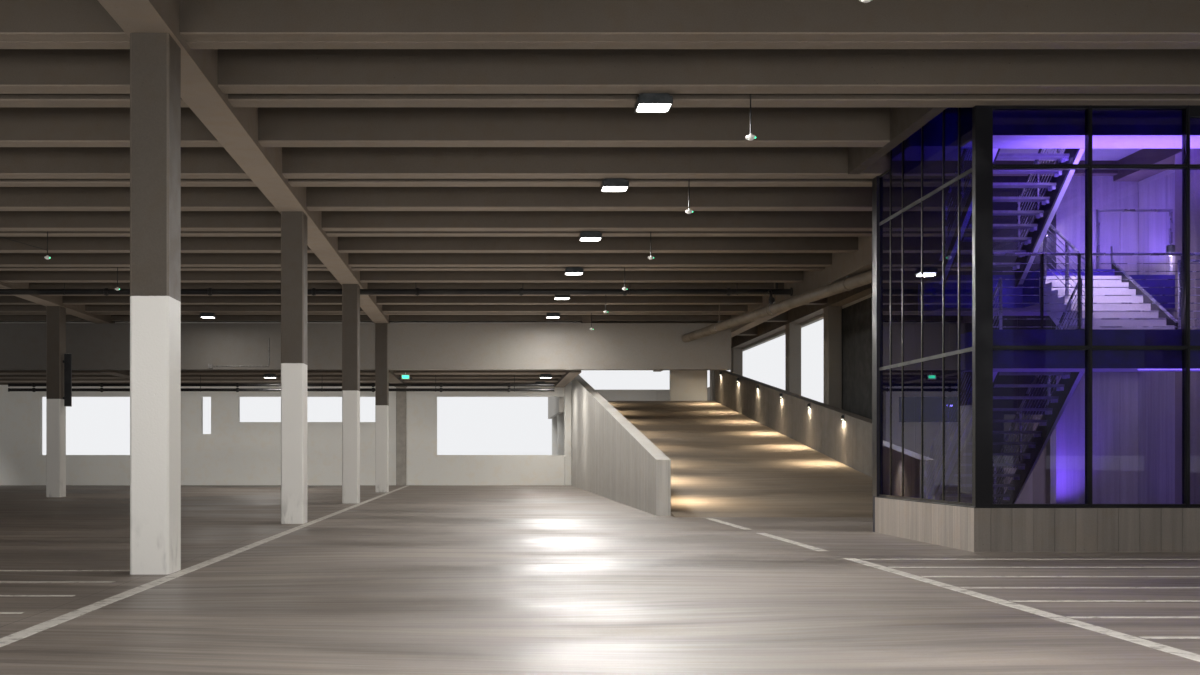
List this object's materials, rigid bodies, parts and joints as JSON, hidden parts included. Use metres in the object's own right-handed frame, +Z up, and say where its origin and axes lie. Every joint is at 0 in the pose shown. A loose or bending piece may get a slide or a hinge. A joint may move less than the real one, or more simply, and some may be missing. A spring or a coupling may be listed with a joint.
{
  "type": "multi storey car park, 1:2 scale model",
  "caption": "Concrete parking hall with ribbed decks on columns and girders, a half-storey ramp between low walls, a glazed stair tower with steel stair, and roof parking with parapets.",
  "frame": {"origin": "middle of the whole building's footprint, on the underside of the ground slab", "axes": "+Y along the aisles towards the rear and the ramp's top, +X across them towards the ramp side, +Z up"},
  "size_m": [18.3, 33.415, 5.08],
  "materials": {
    "concrete": null,
    "pale": null,
    "white": null,
    "ramp": null,
    "black_metal": "satin black",
    "stair_glass": "bluish violet tint",
    "tread_steel": "satin mid grey",
    "lens": "opal white",
    "white_plastic": "satin white",
    "drain_metal": "tan, matt",
    "blade_metal": "matt charcoal"
  },
  "bodies": {
    "root": {"ground_slab": "pale", "columns_line_a": "concrete", "columns_line_b": "concrete", "facade_columns": "concrete", "ramp_piers": "white", "girders": "concrete", "edge_beams": "concrete", "drop_beam": "concrete", "bracket_beams": "concrete", "trimmer_beams": "concrete", "transfer_beam": "pale", "low_girders": "concrete", "ribs_left": "concrete", "ribs_right": "concrete", "low_ribs": "concrete", "deck_left": "concrete", "deck_right": "concrete", "low_deck": "concrete", "ramp_slab": "ramp", "ramp_wall_left": "pale", "ramp_wall_right": "pale", "landing_beams": "concrete", "landing_deck": "ramp", "crash_walls": "pale", "side_screen": "concrete", "roof_panels": "pale", "low_panels": "pale", "rear_wall_piers": "white", "rear_wall_sills": "white", "rear_wall_heads": "white", "stair_base": "pale", "stair_frame_front": "black_metal", "stair_frame_left": "black_metal", "stair_glass": "stair_glass", "stair_back_wall": "pale", "stair_landings": "pale", "stair_stringers": "black_metal", "stair_treads": "tread_steel", "stair_middle_flight": "pale", "stair_railings": "black_metal", "stair_head": "pale", "stair_head_roof": "concrete", "luminaires": "black_metal", "luminaire_lenses": "lens", "ramp_lights": "black_metal", "sensors": "white_plastic", "sprinkler_pipes": "black_metal", "drain_pipe": "drain_metal", "blade_panel": "blade_metal"}
  },
  "joints": []
}
